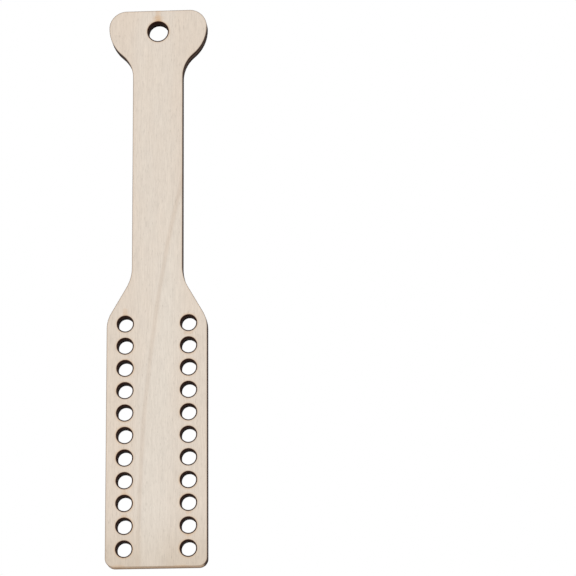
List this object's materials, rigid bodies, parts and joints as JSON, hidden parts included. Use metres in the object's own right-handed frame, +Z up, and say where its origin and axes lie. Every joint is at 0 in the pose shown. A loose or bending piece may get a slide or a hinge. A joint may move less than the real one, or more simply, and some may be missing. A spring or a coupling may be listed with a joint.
{
  "type": "warping paddle",
  "caption": "Flat plywood warping paddle with a straight handle, a hang hole in its widened head and a column of round yarn holes down each side of its blade.",
  "frame": {"origin": "middle of the hang hole, halfway through the board", "axes": "+Z up the paddle from the blade to the head, +Y from the front face to the back face, +X to the right as the front face is seen"},
  "size_m": [0.0444, 0.006, 0.2535],
  "materials": {
    "face_ply": "bare sanded basswood, pale, with its cut edges charred dark brown",
    "core_ply": "only its charred edge shows, a greyer brown than the face plies",
    "glue": "cured glue line, burnt near-black at the cut edge"
  },
  "bodies": {
    "root": {"front_veneer": "face_ply", "front_glue_line": "glue", "core_veneer": "core_ply", "back_glue_line": "glue", "back_veneer": "face_ply"}
  },
  "joints": []
}
